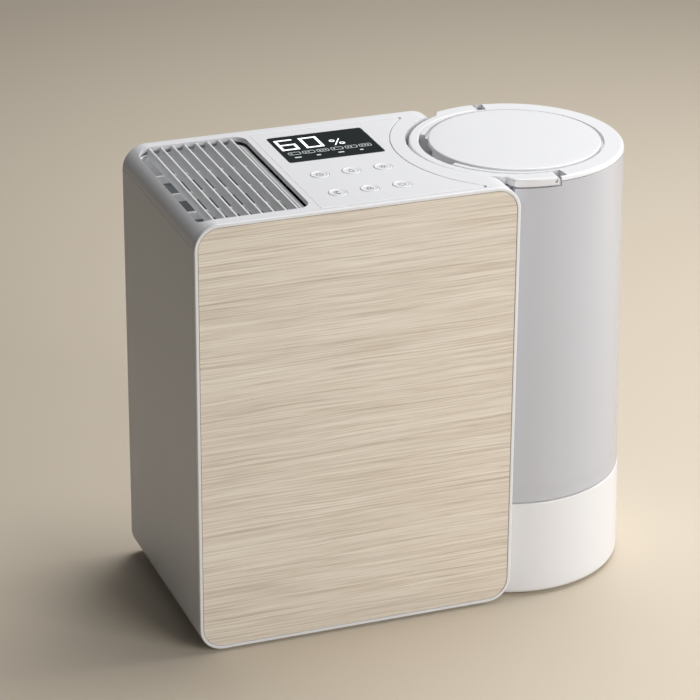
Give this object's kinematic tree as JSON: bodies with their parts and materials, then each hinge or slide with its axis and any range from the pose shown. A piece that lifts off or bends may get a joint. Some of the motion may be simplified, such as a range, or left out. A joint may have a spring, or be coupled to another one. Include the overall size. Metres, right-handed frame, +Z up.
{
  "type": "cool mist humidifier",
  "caption": "Box-shaped cool mist humidifier with a wood-grain front, a louvred top outlet, a display and round buttons, and a lift-out round water tank with lid and carry handle.",
  "frame": {"origin": "on the floor under the middle of the whole object", "axes": "+X towards the water tank, +Y towards the back, +Z up; the wood-grain front faces -Y"},
  "size_m": [0.3576, 0.1758, 0.3293],
  "materials": {
    "white_plastic": "smooth satin",
    "side_plastic": "fine matt",
    "wood_grain": "embossed pale wood grain, matt",
    "grille_plastic": "satin",
    "black_glass": "polished",
    "frosted_tank": "frosted translucent",
    "rubber": "matt",
    "silicone": "matt",
    "steel": "plain",
    "inner_plastic": "matt",
    "circuit_board": "satin",
    "wick": "matt",
    "dust_mesh": "matt"
  },
  "bodies": {
    "housing": {"front_cover": "white_plastic", "top_cover": "white_plastic", "control_plate": "white_plastic", "base_tray": "white_plastic", "main_shell": "side_plastic", "back_panel": "side_plastic", "wood_panel": "wood_grain", "outlet_grille": "grille_plastic", "display_window": "black_glass", "foot_left_front": "rubber", "foot_left_back": "rubber", "foot_right_front": "rubber", "foot_right_back": "rubber", "inlet_socket": "rubber", "fan_motor": "steel", "screw_1": "steel", "screw_2": "steel", "screw_3": "steel", "screw_4": "steel", "inlet_pin_left": "steel", "inlet_pin_right": "steel", "display_module": "inner_plastic", "filter_frame": "inner_plastic", "fan_scroll": "inner_plastic", "control_board": "circuit_board", "power_board": "circuit_board", "wick_filter": "wick"},
    "tank": {"tank_body": "frosted_tank", "tank_top_ring": "white_plastic", "handle_pin_front": "steel", "handle_pin_back": "steel", "valve_cap": "inner_plastic", "valve_guide": "inner_plastic", "valve_seal": "rubber", "valve_spring": "steel"},
    "lid": {"tank_lid": "white_plastic", "lid_seal": "silicone"},
    "handle": {"tank_handle": "white_plastic"},
    "valve": {"valve_plunger": "silicone"},
    "fan": {"fan_impeller": "inner_plastic", "fan_shaft": "steel"},
    "water_float": {"water_float": "inner_plastic"},
    "rear_grille": {"rear_cover": "side_plastic", "dust_filter": "dust_mesh"},
    "button_timer": {"button_timer": "white_plastic"},
    "button_humidity": {"button_humidity": "white_plastic"},
    "button_light": {"button_light": "white_plastic"},
    "button_mode": {"button_mode": "white_plastic"},
    "button_speed": {"button_speed": "white_plastic"},
    "button_power": {"button_power": "white_plastic"}
  },
  "joints": [
    {"name": "tank_lift", "type": "slide", "parent": "housing", "child": "tank", "axis": [0, 0, 1], "range_m": [0, 0.27]},
    {"name": "lid_lift", "type": "slide", "parent": "tank", "child": "lid", "axis": [0, 0, 1], "range_m": [0, 0.012]},
    {"name": "handle_swing", "type": "hinge", "parent": "tank", "child": "handle", "pos_m": [0.0915, 0.0006, 0.3248], "axis": [0, 1, 0], "range_deg": [0, 90]},
    {"name": "valve_open", "type": "slide", "parent": "tank", "child": "valve", "axis": [0, 0, 1], "range_m": [0, 0.003], "stiffness_N_per_m": 150, "springref_m": -0.002, "deforming": ["valve_spring"]},
    {"name": "fan_spin", "type": "hinge", "parent": "housing", "child": "fan", "pos_m": [-0.118, -0.032, 0.19], "axis": [0, 1, 0], "continuous": true},
    {"name": "float_rise", "type": "slide", "parent": "housing", "child": "water_float", "axis": [0, 0, 1], "range_m": [0, 0.03]},
    {"name": "rear_grille_pull", "type": "slide", "parent": "housing", "child": "rear_grille", "axis": [0, 1, 0], "range_m": [0, 0.04]},
    {"name": "press_timer", "type": "slide", "parent": "housing", "child": "button_timer", "axis": [0, 0, -1], "range_m": [0, 0.0005], "stiffness_N_per_m": 600, "springref_m": -0.0005},
    {"name": "press_humidity", "type": "slide", "parent": "housing", "child": "button_humidity", "axis": [0, 0, -1], "range_m": [0, 0.0005], "stiffness_N_per_m": 600, "springref_m": -0.0005},
    {"name": "press_light", "type": "slide", "parent": "housing", "child": "button_light", "axis": [0, 0, -1], "range_m": [0, 0.0005], "stiffness_N_per_m": 600, "springref_m": -0.0005},
    {"name": "press_mode", "type": "slide", "parent": "housing", "child": "button_mode", "axis": [0, 0, -1], "range_m": [0, 0.0005], "stiffness_N_per_m": 600, "springref_m": -0.0005},
    {"name": "press_speed", "type": "slide", "parent": "housing", "child": "button_speed", "axis": [0, 0, -1], "range_m": [0, 0.0005], "stiffness_N_per_m": 600, "springref_m": -0.0005},
    {"name": "press_power", "type": "slide", "parent": "housing", "child": "button_power", "axis": [0, 0, -1], "range_m": [0, 0.0005], "stiffness_N_per_m": 600, "springref_m": -0.0005}
  ]
}
